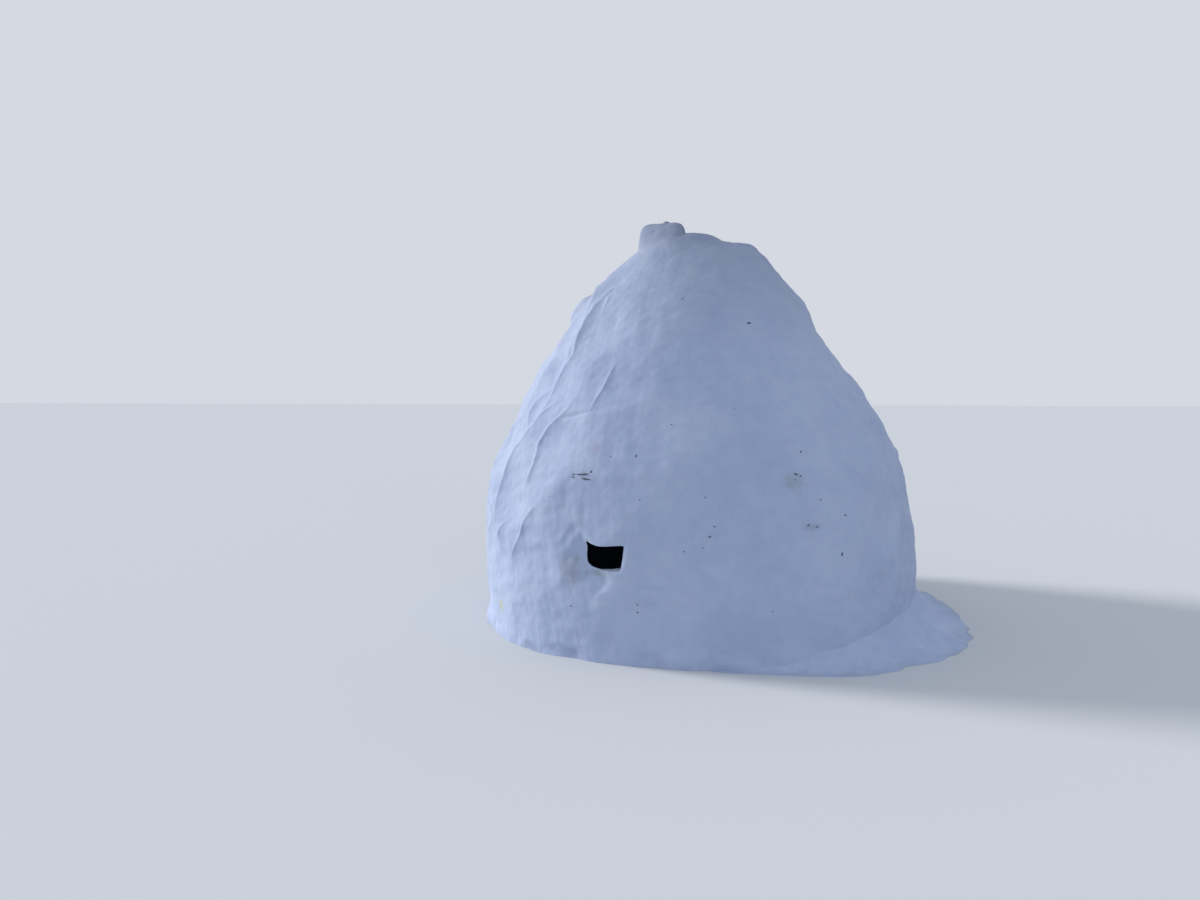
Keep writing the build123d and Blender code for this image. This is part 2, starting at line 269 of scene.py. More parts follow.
def on_dome(directions, heights):
    """Points of the plain dome in given directions and at given heights, one for each pair."""
    steps = np.linspace(0, len(BEDS) - 1, FINE_STEPS * (len(BEDS) - 1) + 1)
    at = np.interp(heights, along_beds(BEDS, steps)[:, 0], steps)
    return ring_points(along_beds(BEDS, np.atleast_1d(at)), np.atleast_1d(directions))


def sheet_normals(points):
    """Unit normals of a grid that closes round its columns: the cross product of its central differences."""
    round_it = np.roll(points, -1, axis=1) - np.roll(points, 1, axis=1)
    up_it = np.gradient(points, axis=0)
    normals = np.cross(round_it, up_it)
    return normals / np.maximum(np.linalg.norm(normals, axis=-1, keepdims=True), 1e-9)


def waves(points, length, seed, count=14):
    """A smooth random field: the sum of plane waves near one length, with random directions and phases."""
    rng = np.random.default_rng(seed)
    directions = rng.normal(size=(count, 3))
    directions /= np.linalg.norm(directions, axis=1, keepdims=True)
    turns = 2 * pi / (length * rng.uniform(0.7, 1.5, count))
    phases = rng.uniform(0, 2 * pi, count)
    total = 0
    for direction, turn, phase in zip(directions, turns, phases):
        total = total + np.sin(points @ (direction * turn) + phase)
    return total / sqrt(count)


def scatter(cells, seed):
    """Three random numbers from 0 to 1 for each whole-numbered cell: its place, mixed by large primes."""
    mixed = np.int64(seed * 2654435761)
    for axis, prime in enumerate((73856093, 19349663, 83492791)):
        mixed = mixed ^ (cells[..., axis] * prime)
    numbers = []
    for prime in (2246822519, 3266489917, 668265263):
        mixed = (mixed ^ (mixed >> 13)) * prime & 0xFFFFFFFF
        numbers.append((mixed & 0xFFFF) / 0xFFFF)
    return np.stack(numbers, axis=-1)


def clods(points, size, seed):
    """Rounded lumps, 0 to 1: each cell of a lattice holds a ball at a random place, and the highest is it."""
    scaled = points / size
    base = np.floor(scaled).astype(np.int64)
    highest = np.zeros(points.shape[:-1])
    for offset in np.ndindex(3, 3, 3):
        cell = base + np.array(offset) - 1
        squared = ((scaled - cell - scatter(cell, seed)) ** 2).sum(axis=-1)
        highest = np.maximum(highest, 1 - squared)
    return highest


def rolling(points, table, seed):
    """The sum of the waves of a table, which gives the height and length of each."""
    return sum(height * waves(points, length, seed + i) for i, (height, length) in enumerate(table))


def swelled(points, outwards, table, level, seed):
    """Points moved out by the clods of a table of depths and sizes, and in where those are under a level."""
    swell = sum(depth * (clods(points, size, seed + i) - level) for i, (depth, size) in enumerate(table))
    return points + outwards * swell[..., None]


def bell(distance, width):
    """A soft hill, 1 in its middle and near 0 at twice its width: e to minus the square of their ratio."""
    return np.exp(-((distance / width) ** 2))


def smooth_step(value, low, high):
    """0 up to the low value, 1 from the high one, and three times the square less twice the cube between."""
    t = np.clip((value - low) / (high - low), 0, 1)
    return t * t * (3 - 2 * t)


def turn_between(directions, middle):
    """Degrees from the middle direction, -180 to 180."""
    return (directions - middle + 180) % 360 - 180


def facing(directions, middle, reach):
    """1 in the middle direction, with a bell's soft fall to each side."""
    return bell(turn_between(directions, middle), reach)


def from_line(points, line):
    """Distance of each point from a broken line, and how far along it the nearest place is, 0 to 1."""
    nearest = np.full(points.shape[:-1], np.inf)
    place = np.zeros(points.shape[:-1])
    lengths = np.linalg.norm(np.diff(line, axis=0), axis=1)
    starts = np.concatenate([[0], np.cumsum(lengths)])
    for i, length in enumerate(lengths):
        step = (line[i + 1] - line[i]) / length
        t = np.clip((points - line[i]) @ step, 0, length)
        distance = np.linalg.norm(points - line[i] - t[..., None] * step, axis=-1)
        closer = distance < nearest
        nearest = np.where(closer, distance, nearest)
        place = np.where(closer, (starts[i] + t) / starts[-1], place)
    return nearest, place


def outline_distance(x, z, outline):
    """Distance in the XZ plane from a closed outline, negative inside it, by the crossing rule."""
    nearest = np.full(x.shape, np.inf)
    inside = np.zeros(x.shape, bool)
    for (x0, z0), (x1, z1) in zip(outline, np.roll(outline, -1, axis=0)):
        dx, dz = x1 - x0, z1 - z0
        t = np.clip(((x - x0) * dx + (z - z0) * dz) / (dx * dx + dz * dz), 0, 1)
        nearest = np.minimum(nearest, np.hypot(x - x0 - t * dx, z - z0 - t * dz))
        crosses = (z0 > z) != (z1 > z)
        with np.errstate(divide="ignore", invalid="ignore"):
            inside ^= crosses & (x < x0 + dx * (z - z0) / dz)
    return np.where(inside, -nearest, nearest)


def smooth_outline(corners, count):
    """A closed outline through the corners, evenly spaced, with each point averaged with its neighbours."""
    closed = np.array([*corners, corners[0]])
    lengths = np.concatenate([[0], np.cumsum(np.linalg.norm(np.diff(closed, axis=0), axis=1))])
    places = np.linspace(0, lengths[-1], count, endpoint=False)
    outline = np.stack([np.interp(places, lengths, closed[:, i]) for i in range(2)], axis=1)
    return (np.roll(outline, 1, axis=0) + 2 * outline + np.roll(outline, -1, axis=0)) / 4


def door_outline(count):
    """The doorway from the front: two jambs and a round arch, run a little below the ground."""
    half, spring, below = DOOR_WIDTH / 2, DOOR_HEIGHT - DOOR_WIDTH / 2, -0.2
    turns = np.linspace(0, pi, count)
    arch = np.stack([half * np.cos(turns), spring + half * np.sin(turns)], axis=1)
    return np.vstack([[(half, below)], arch, [(-half, below)]])


def patted(heights, directions):
    """How much of the handfuls shows: none at the foot or in the middle of the front, all on the flanks."""
    return smooth_step(heights, *SMOOTH_FOOT) * (1 - facing(directions, *SMOOTH_FRONT))


def handful_relief(points, directions):
    """How far the bowls leave the wall from the plain dome: a parabola about the nearest bowl's middle.

    A power mean of the distances takes the place of the nearest, which rounds the crests between the bowls.
    The bowls' middles stray by waves of their row and place, with uneven lengths.
    """
    pitch = 360 / HANDFULS
    row, place = points[..., 2] / HANDFUL_RISE, directions / pitch
    reach = np.hypot(points[..., 0] - axis_x(), points[..., 1])
    joined = np.full(row.shape, HANDFUL_REACH**-CREST_POWER)
    for up, side in np.ndindex(3, 4):
        i, j = np.floor(row) + up - 1, np.floor(place) + side - 1
        shift = HANDFUL_STRAY * np.sin(12.9 * i + 7.3 * (j % HANDFULS)) + i % 2 / 2
        lift = HANDFUL_STRAY * np.cos(4.7 * i + 9.1 * (j % HANDFULS)) + 0.5
        across = (place - j - shift) * radians(pitch) * reach
        distance = np.hypot(across, (row - i - lift) * HANDFUL_RISE)
        joined += np.maximum(distance, 0.001) ** -CREST_POWER
    nearest = joined ** (-1 / CREST_POWER)
    shown = patted(points[..., 2], directions) * (1 - smooth_step(points[..., 2], *SMOOTH_CROWN))
    return HANDFUL_DEPTH * shown * ((nearest / HANDFUL_REACH) ** 2 - PLAIN_LEVEL)


def scoops(points, size, seed):
    """Shallow bowls that meet in sharp crests, 0 at their bottoms, as where snow is patted on in handfuls."""
    bent = points + 0.10 * np.stack([waves(points, 0.8, seed + i) for i in range(3)], axis=-1)
    return 1 - clods(bent * [1, 1, 0.55], size, seed)


def ridge_relief(points, directions, heights):
    """The ridges of the left flank: a soft swell with a sharp crest on it, which falls off exponentially."""
    relief = np.zeros(heights.shape)
    for crest, left_width, front_width, line in RIDGES:
        line_heights, line_turns = np.array(line).T
        distance, place = from_line(points, on_dome(line_turns, line_heights))
        crest_turn = np.interp(heights, line_heights[::-1], line_turns[::-1])
        width = np.where(turn_between(directions, crest_turn) > 0, front_width, left_width)
        fade = np.sqrt(np.clip(np.sin(pi * np.clip(place, 0.03, 0.97)), 0, 1))
        edge = np.exp(-distance / (EDGE_WIDTH * width))
        relief += crest * fade * (SOFT_SHARE * bell(distance, width) + EDGE_SHARE * edge)
    for depth, width, line in CREASES:
        line_heights, line_turns = np.array(line).T
        distance, place = from_line(points, on_dome(line_turns, line_heights))
        relief -= depth * np.sin(pi * np.clip(place, 0.04, 0.96)) * bell(distance, width)
    return relief


def lip(distance, depth, width):
    """How far the wall is rounded off at an opening's edge: a parabola on both sides of its outline."""
    return depth * np.clip(1 - np.abs(distance) / width, 0, 1) ** 2


def opening_depth(points):
    """How deep the snow is dug away round the openings: the scoop beside the window, and the rounded lips."""
    x, z = points[..., 0] - axis_x(), points[..., 2]
    window = outline_distance(x, z, smooth_outline(WINDOW, 64))
    left, low = np.array(WINDOW[0]) + SCOOP_CORNER
    inside = smooth_step(left - x + SCOOP_SLOPE * (low - z), 0, SCOOP_EDGE)
    ragged = np.maximum(window, 0) / SCOOP_REACH + 0.12 * waves(points, 0.12, 11)
    scoop = SCOOP_DEPTH * inside * (1 - smooth_step(ragged, 0, 1))
    door = outline_distance(x, z, door_outline(24))
    at_front, at_back = points[..., 1] < -OPENINGS_FROM, points[..., 1] > OPENINGS_FROM
    return at_front * (scoop + lip(window, *WINDOW_LIP)) + at_back * lip(door, *DOOR_LIP)


def wall_relief(points, directions):
    """How far the snow stands out of the plain dome, over its outer face: the sum of its waves and lumps."""
    heights = points[..., 2]
    calm = 1 - CALM_SHARE * facing(directions, *CALM_FRONT)
    relief = calm * rolling(points, WALL_WAVES, 1)

    # Handfuls patted on, each rough with smaller ones, which the front and the foot hide under a smooth skin
    relief += handful_relief(points, directions)
    relief += 0.005 * patted(heights, directions) * (scoops(points, 0.19, 16) - PLAIN_LEVEL)
    relief += ridge_relief(points, directions, heights)
    for direction, height, radius, proud in SWELLS:
        at = on_dome(direction, height)[0]
        relief += proud * bell(np.linalg.norm(points - at, axis=-1), radius)
    flat = facing(directions, *FLAT_FLANK) * smooth_step(heights, *FLAT_FOOT)
    relief -= FLAT_DEPTH * flat * (1 - smooth_step(heights, *FLAT_TOP))

    # Crumbly snow round the crown's rim, most on the right, and loose snow at the foot
    share = CRUMBLY_LEAST + (1 - CRUMBLY_LEAST) * facing(directions, *CRUMBLY_RIM)
    rim = share * smooth_step(heights, *CRUMBLY_FROM)
    relief += rim * (0.014 * (clods(points, 0.085, 7) - 0.35) + 0.005 * clods(points, 0.040, 8))
    foot = 1 - smooth_step(heights, *LOOSE_FOOT)
    relief += foot * (0.010 * clods(points, 0.09, 9) + 0.008 * waves(points, 0.2, 10))
    return relief - opening_depth(points)


def inner_beds():
    """The inner ends of the beds: square to the wall from the outer ends, one wall's thickness in."""
    inner = []
    mean = BEDS[: LAST_BED + 1, 1:].mean(axis=1)
    for k in range(LAST_BED):
        low, high = max(k - 1, 0), k + 1
        lean = max(0, atan2(mean[low] - mean[high], BEDS[high, 0] - BEDS[low, 0]))
        wall = FOOT_WALL + (CROWN_WALL - FOOT_WALL) * BEDS[k, 0] / BEDS[LAST_BED, 0]
        inner.append((BEDS[k, 0] - wall * sin(lean), *(BEDS[k, 1:] - wall * cos(lean))))
    return np.array([*inner, (BEDS[LAST_BED, 0] - CROWN_WALL, *[ROOF_RING] * 4)])


def on_joint(directions, steps):
    """1 where the inner face lies on a joint between two blocks, and 0 elsewhere."""
    marks = np.zeros((len(steps), len(directions)))
    for i, step in enumerate(steps):
        course = int(step)
        if step == course and course > 0:
            marks[i] = 1
        if course < len(COURSE_JOINTS):
            for joint in COURSE_JOINTS[course]:
                marks[i, np.abs(turn_between(directions, joint)) < 0.01] = 1
    return marks


def column_of(direction):
    """The number of the column in a whole direction, which counts on past a full turn."""
    turns, rest = divmod(direction, 360)
    return turns * COLUMNS + int(np.searchsorted(DIRECTIONS, rest))


def nearest_columns(directions):
    """The nearest column of the wall's grid to each direction."""
    borders = (DIRECTIONS + np.append(DIRECTIONS[1:], 360)) / 2
    return np.searchsorted(borders, np.asarray(directions) % 360) % COLUMNS


@lru_cache
def wall_sheets():
    """The wall's outer and inner faces as grids of points with normals, and the first row of each course.

    The outer grid has rows about one row's height apart along the beds, and the inner grid has every second
    row and column of it.
    """
    row = bpy.context.scene.igloo_sizes.row
    steps, first_rows = [], []
    for course in range(len(BEDS) - 1):
        rise = np.hypot(*(BEDS[course + 1] - BEDS[course])[[0, 3]])
        count = 2 * ceil(rise / row / 2)
        first_rows.append(len(steps))
        steps += [course + i / count for i in range(count)]
    steps = np.array(steps + [len(BEDS) - 1.0])
    plain = ring_points(along_beds(BEDS, steps)[:, None], DIRECTIONS)
    normals = sheet_normals(plain)
    relief = wall_relief(plain, np.broadcast_to(DIRECTIONS, plain.shape[:2]))
    relief *= np.minimum(1, np.hypot(plain[..., 0] - axis_x(), plain[..., 1]) / POLE_REACH)
    normals[0, :, 2] = 0  # the foot stays on the ground
    outer = plain + normals * relief[..., None]

    inner_steps = steps[: first_rows[LAST_BED] + 1 : 2]
    smooth = ring_points(along_beds(inner_beds(), inner_steps)[:, None], DIRECTIONS[::2])
    inward = -sheet_normals(smooth)
    rough = rolling(smooth, ROOM_WAVES, 21) - ROOM_GROOVE * on_joint(DIRECTIONS[::2], inner_steps)
    rough[[0, -1]] = 0
    inner = smooth + inward * rough[..., None]
    return {
        "outer": outer,
        "outer_normals": sheet_normals(outer),
        "inner": inner,
        "inner_normals": -sheet_normals(inner),
        "first_rows": first_rows,
    }


OUTSIDE, INSIDE, HIDDEN = 0, 1, 2  # the material numbers of a block's faces
SHARP_FROM = 38  # degrees at which the edges of a cut stay sharp
KEY_HALVINGS = (0.200, 0.100, 0.050, 0.025)  # reach at which the key block's rings lose half their points


def new_mesh(name, points, faces, normals=None):
    """A mesh from points, and groups of faces as (point numbers, material number); normals go by point."""
    corners = np.concatenate([group.ravel() for group, _ in faces])
    sizes = np.concatenate([np.full(len(group), group.shape[1]) for group, _ in faces])
    finishes = np.concatenate([np.full(len(group), finish) for group, finish in faces])
    mesh = bpy.data.meshes.new(name)
    mesh.vertices.add(len(points))
    mesh.vertices.foreach_set("co", np.ascontiguousarray(points, np.float32).ravel())
    mesh.loops.add(len(corners))
    mesh.loops.foreach_set("vertex_index", corners.astype(np.int32))
    mesh.polygons.add(len(sizes))
    mesh.polygons.foreach_set("loop_start", np.concatenate([[0], np.cumsum(sizes)[:-1]]).astype(np.int32))
    mesh.polygons.foreach_set("material_index", finishes.astype(np.int32))
    mesh.polygons.foreach_set("use_smooth", np.ones(len(sizes), bool))
    mesh.update(calc_edges=True)
    if normals is not None:
        by_corner = normals[corners]
        by_corner[np.repeat(finishes == HIDDEN, sizes)] = 0
        mesh.normals_split_custom_set(by_corner.tolist())
    return mesh


def grid_faces(rows, columns, first=0, closed=False, flipped=False):
    """Four-cornered faces of a grid of points, counted row by row."""
    i, j = np.meshgrid(np.arange(rows - 1), np.arange(columns if closed else columns - 1), indexing="ij")
    low, high, k = i * columns, (i + 1) * columns, (j + 1) % columns
    faces = np.stack([low + j, low + k, high + k, high + j], axis=-1).reshape(-1, 4) + first
    return faces[:, ::-1] if flipped else faces


def rim_numbers(rows, columns, first=0):
    """Point numbers round the edge of a grid: along the first row, up, back along the last row and down."""
    numbers = np.arange(rows * columns).reshape(rows, columns) + first
    return np.concatenate([numbers[0, :-1], numbers[:-1, -1], numbers[-1, :0:-1], numbers[:0:-1, 0]])


def close_rims(fine, coarse):
    """Three-cornered faces between a closed rim and one with half as many points."""
    start, middle, end = fine[0::2], fine[1::2], np.roll(fine, -2)[0::2]
    here, there = coarse, np.roll(coarse, -1)
    fans = [(middle, start, here), (end, middle, there), (middle, here, there)]
    return np.concatenate([np.stack(fan, axis=1) for fan in fans])


def pole_faces(ring, pole):
    """Three-cornered faces between a closed ring and one point."""
    return np.stack([ring, np.roll(ring, -1), np.full(len(ring), pole)], axis=1)


def block_mesh(name, sheets, course, start, end):
    """One block of the wall: its part of the outer and inner faces, and the joints between them."""
    low, high = sheets["first_rows"][course], sheets["first_rows"][course + 1]
    columns = np.arange(column_of(start), column_of(end) + 1) % COLUMNS
    outer = sheets["outer"][low : high + 1][:, columns]
    outer_normals = sheets["outer_normals"][low : high + 1][:, columns]
    inner = sheets["inner"][low // 2 : high // 2 + 1][:, columns[::2] // 2]
    inner_normals = sheets["inner_normals"][low // 2 : high // 2 + 1][:, columns[::2] // 2]
    first = outer.shape[0] * outer.shape[1]
    joints = close_rims(rim_numbers(*outer.shape[:2]), rim_numbers(*inner.shape[:2], first))
    faces = [
        (grid_faces(*outer.shape[:2]), OUTSIDE),
        (grid_faces(*inner.shape[:2], first, flipped=True), INSIDE),
        (joints, HIDDEN),
    ]
    points = np.concatenate([outer.reshape(-1, 3), inner.reshape(-1, 3)])
    normals = np.concatenate([outer_normals.reshape(-1, 3), inner_normals.reshape(-1, 3)])
    return new_mesh(name, points, faces, normals)


def key_block_mesh(name, sheets):
    """The plug of the crown: rings that lose half their points where they get small, closed at both poles."""
    low = sheets["first_rows"][LAST_BED - 1]
    outer, normals = sheets["outer"][low:], sheets["outer_normals"][low:]
    inner, inner_normals = sheets["inner"][low // 2 :], sheets["inner_normals"][low // 2 :]
    reach = np.hypot(outer[..., 0] - axis_x(), outer[..., 1]).mean(axis=1)
    points, point_normals, faces = [], [], []
    first, ring, stride = 0, None, 1
    for i in range(len(outer) - 1):
        wanted = 2 ** sum(reach[i] < limit for limit in KEY_HALVINGS)
        thinner = min(max(wanted, stride), stride * 2)
        numbers = first + np.arange(COLUMNS // thinner)
        if ring is not None and thinner == stride:
            squares = np.stack([ring, np.roll(ring, -1), np.roll(numbers, -1), numbers], axis=1)
            faces.append((squares, OUTSIDE))
        elif ring is not None:
            faces.append((close_rims(ring, numbers)[:, ::-1], OUTSIDE))
        points.append(outer[i, ::thinner])
        point_normals.append(normals[i, ::thinner])
        first += len(numbers)
        ring, stride = numbers, thinner
    faces.append((pole_faces(ring, first), OUTSIDE))
    points.append(outer[-1].mean(axis=0)[None])
    point_normals.append(np.array([[0, 0, 1.0]]))
    first += 1

    count = inner.shape[1]
    faces.append((grid_faces(len(inner), count, first, closed=True, flipped=True), INSIDE))
    faces.append((close_rims(np.arange(COLUMNS), first + np.arange(count)), HIDDEN))
    points.append(inner.reshape(-1, 3))
    point_normals.append(inner_normals.reshape(-1, 3))
    last = first + (len(inner) - 1) * count + np.arange(count)
    faces.append((pole_faces(last, first + len(inner) * count)[:, [1, 0, 2]], INSIDE))
    points.append(inner[-1].mean(axis=0)[None])
    point_normals.append(np.array([[0, 0, -1.0]]))
    return new_mesh(name, np.concatenate(points), faces, np.concatenate(point_normals))


def closed_form(rings):
    """Points and faces of a stack of closed rings, shut by a pole at each end, with its faces outwards."""
    rows, columns = rings.shape[:2]
    points = np.concatenate([rings.reshape(-1, 3), rings[:1].mean(axis=1), rings[-1:].mean(axis=1)])
    ring = np.arange(columns)
    start = pole_faces(ring, rows * columns)[:, [1, 0, 2]]
    end = pole_faces(ring + (rows - 1) * columns, rows * columns + 1)
    faces = [grid_faces(rows, columns, closed=True), start, end]
    # Six times the volume under the faces, which is negative where they look inwards
    volume = sum(
        np.einsum("ij,ij->", points[part[:, 0]], np.cross(points[part[:, k]], points[part[:, k + 1]]))
        for part in faces
        for k in range(1, part.shape[1] - 1)
    )
    return points, [part[:, ::-1] if volume < 0 else part for part in faces]


def joined_forms(name, forms):
    """One mesh of closed forms, each a stack of rings."""
    points, groups, first = [], {}, 0
    for form in forms:
        form_points, faces = closed_form(form)
        points.append(form_points)
        for part in faces:
            groups.setdefault(part.shape[1], []).append(part + first)
        first += len(form_points)
    faces = [(np.concatenate(parts), 0) for parts in groups.values()]
    return new_mesh(name, np.concatenate(points), faces)


def ball_rings(rows, columns):
    """A unit ball as rings from bottom to top: sine and cosine of the latitude and the longitude."""
    latitudes = np.linspace(-pi / 2, pi / 2, rows + 2)[1:-1, None]
    longitudes = np.arange(columns) * 2 * pi / columns
    around = np.stack([np.cos(longitudes), np.sin(longitudes), np.ones(columns)], axis=-1)
    return around * np.stack([np.cos(latitudes), np.cos(latitudes), np.sin(latitudes)], axis=-1)


def rough_ball(rows, columns, centre, radii, square, lumps, seed):
    """A lump of snow: each direction of a ball is stretched to a superellipsoid, then swelled by clods."""
    ball = ball_rings(rows, columns)
    reach = (np.abs(ball / radii) ** square).sum(axis=-1) ** (-1 / square)
    points = np.array(centre) + ball * reach[..., None]
    return swelled(points, ball, lumps, 0.4, seed)


def squared_clod(rows, columns, centre, faces, lumps, seed):
    """A clod with flat faces and rounded edges: a power mean joins the faces in each direction of a ball.

    A face is given by its outward direction and its distance from the clod's middle.
    """
    ball = ball_rings(rows, columns)
    joined = np.zeros(ball.shape[:2])
    for *outwards, distance in faces:
        towards = np.array(outwards) / np.linalg.norm(outwards)
        joined += np.maximum(ball @ towards / distance, 0) ** CLOD_POWER
    points = np.array(centre) + [axis_x(), 0, 0] + ball * joined[..., None] ** (-1 / CLOD_POWER)
    return swelled(points, ball, lumps, 0.5, seed)


def cutter(outline, flare, near, far, roughness, seed):
    """A closed plug, rough as if dug: an outline in the XZ plane, carried along Y and widened on the way in.

    The flare says how much wider it gets at each side, below and above, past the wall's outer skin.
    """
    skin = 0.3  # share of its length where it keeps the outline
    centre = (0.08, 0.05)  # within this of the outline's middle, along and up, the flare is less than full
    share = np.linspace(0, 1, 24)[:, None]
    opened = np.clip((share - skin) / (1 - skin), 0, 1)
    side, down, up = flare
    reach, rise = np.clip((outline - outline.mean(axis=0)) / centre, -1, 1).T
    points = np.empty((len(share), len(outline), 3))
    points[..., 0] = axis_x() + outline[:, 0] + opened * side * reach
    points[..., 1] = near + share * (far - near)
    points[..., 2] = outline[:, 1] + opened * np.where(rise > 0, up, down) * rise
    outwards = points - points.mean(axis=1, keepdims=True)
    outwards /= np.linalg.norm(outwards, axis=-1, keepdims=True)
    return joined_forms("plug", [points + outwards * (roughness * waves(points, 0.16, seed))[..., None]])


def cut_away(piece, plug_mesh):
    """Cuts the plug out of a piece for good."""
    plug = bpy.data.objects.new("plug", plug_mesh)
    bpy.context.scene.collection.objects.link(plug)
    cut = piece.modifiers.new("cut", "BOOLEAN")
    cut.object, cut.operation, cut.solver = plug, "DIFFERENCE", "EXACT"
    bpy.context.view_layer.update()
    done = bpy.data.meshes.new_from_object(piece.evaluated_get(bpy.context.evaluated_depsgraph_get()))
    old = piece.data
    piece.modifiers.clear()
    piece.data = done
    bpy.data.meshes.remove(old)
    bpy.data.objects.remove(plug)


def read(items, name, kind, width=1):
    """One property of all the items of a mesh as an array."""
    values = np.empty(len(items) * width, kind)
    items.foreach_get(name, values)
    return values


def wall_normals(mesh, sheets):
    """Gives the outer face of a cut block the normals of the whole wall again, so its joints don't show."""
    corners = read(mesh.loops, "vertex_index", np.int32)
    places = read(mesh.vertices, "co", np.float32, 3).reshape(-1, 3)
    finishes = read(mesh.polygons, "material_index", np.int32)
    sizes = read(mesh.polygons, "loop_total", np.int32)
    column = nearest_columns(np.degrees(np.arctan2(places[:, 1], places[:, 0] - axis_x())))
    heights = sheets["outer"][..., 2]
    found = np.empty((len(places), 3))
    for part in np.array_split(np.arange(len(places)), 1 + len(places) // 2000):  # to spare memory
        row = np.abs(heights[:, column[part]] - places[part, 2]).argmin(axis=0)
        found[part] = sheets["outer_normals"][row, column[part]]
    mesh.set_sharp_from_angle(angle=radians(SHARP_FROM))
    by_corner = found[corners]
    by_corner[np.repeat(finishes != OUTSIDE, sizes)] = 0
    mesh.normals_split_custom_set(by_corner.tolist())


def on_wall(directions, heights):
    """The dressed wall's nearest points to given directions and heights, with their normals."""
    sheets = wall_sheets()
    columns = nearest_columns(directions)
    rows = np.abs(sheets["outer"][:, columns, 2] - np.array(heights)).argmin(axis=0)
    return sheets["outer"][rows, columns], sheets["outer_normals"][rows, columns]


def put(name, mesh, materials, *nodes, slot=None):
    """A piece at the origin that rides on the body and stands for the given solids."""
    piece = bpy.data.objects.new(name, mesh)
    bpy.context.scene.collection.objects.link(piece)
    for material in materials:
        mesh.materials.append(material)
    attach(piece, "root")
    if nodes:
        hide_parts(*nodes)
    return piece


def linear(hex_colour):
    """A colour from its sRGB hex value, as linear light."""
    parts = [int(hex_colour[i : i + 2], 16) / 255 for i in (1, 3, 5)]
    return [c / 12.92 if c <= 0.04045 else ((c + 0.055) / 1.055) ** 2.4 for c in parts]


def add(tree, kind, inputs=None, **settings):
    """Adds a node. An input that is a socket is linked, and any other is set as its value.

    Inputs 0, 6 and 7 of a Mix node are its share and two colours. Inputs 1 to 4 of a Map Range node are the
    range of its value and what that becomes.
    """
    node = tree.nodes.new(kind)
    for name, value in settings.items():
        setattr(node, name, value)
    for key, value in (inputs or {}).items():
        if isinstance(value, bpy.types.NodeSocket):
            tree.links.new(value, node.inputs[key])
        else:
            node.inputs[key].default_value = value
    return node


def new_material(name):
    material = bpy.data.materials.new(name)
    material.use_nodes = True
    material.node_tree.nodes.clear()
    return material, material.node_tree


def mix_stain_and_shade(tree, place, ragged, colour, direction, height, along, up, hex_colour, strength):
    """Mixes a stain or painted shade into a colour: strongest in its middle, gone at its reach, ragged
    between.
    """
    at = on_dome(direction, height)[0]
    shifted = add(tree, "ShaderNodeVectorMath", {0: place, 1: at}, operation="SUBTRACT").outputs[0]
    size = (1 / along, 1 / along, 1 / up)
    scaled = add(tree, "ShaderNodeVectorMath", {0: shifted, 1: size}, operation="MULTIPLY").outputs[0]
    length = add(tree, "ShaderNodeVectorMath", {0: scaled}, operation="LENGTH").outputs["Value"]
    bent = add(tree, "ShaderNodeMath", {0: ragged, 1: 1.1, 2: length}, operation="MULTIPLY_ADD").outputs[0]
    share = add(tree, "ShaderNodeMapRange", {"Value": bent, 1: 0.75, 2: 1.55, 3: strength, 4: 0.0},
                interpolation_type="SMOOTHSTEP").outputs[0]
    mixed = {0: share, 6: colour, 7: (*linear(hex_colour), 1)}
    return add(tree, "ShaderNodeMix", mixed, data_type="RGBA").outputs[2]


def paint_light_and_shade(tree, place, colour):
    """Paints light and shade into a colour by height: lighter at the foot, darker towards the crown."""
    top = PAINTED_LIGHT_AND_SHADE[-1][0]
    height = add(tree, "ShaderNodeSeparateXYZ", {0: place}).outputs["Z"]
    share = add(tree, "ShaderNodeMath", {0: height, 1: top}, operation="DIVIDE").outputs[0]
    ramp = add(tree, "ShaderNodeValToRGB", {"Fac": share})
    stops = ramp.color_ramp.elements
    stops.remove(stops[1])
    for level, tone in PAINTED_LIGHT_AND_SHADE:
        stop = stops.new(level / top) if level else stops[0]
        stop.color = (tone, tone, tone, 1)
    mixed = {0: 1.0, 6: colour, 7: ramp.outputs["Color"]}
    return add(tree, "ShaderNodeMix", mixed, data_type="RGBA", blend_type="MULTIPLY").outputs[2]


# How the snow's skin varies: how many to a metre, detail, roughness and distortion
SKIN = {
    "broad": (2.2, 4, 0.55, 0.0),  # paler and bluer parts, half a metre wide
    "patch": (11, 5, 0.62, 0.0),  # patches of 90 mm in them
    "ragged": (26, 4, 0.65, 0.0),  # the edges of stains and painted shade, in tongues of 40 mm
    "smears": (16, 3, 0.5, 0.6),  # as wide as a hand, about 60 mm
    "clots": (55, 3, 0.65, 0.0),  # of 18 mm
    "grain": (190, 2, 0.7, 0.0),  # of 5 mm, which is coarser than real grain so that it shows
}


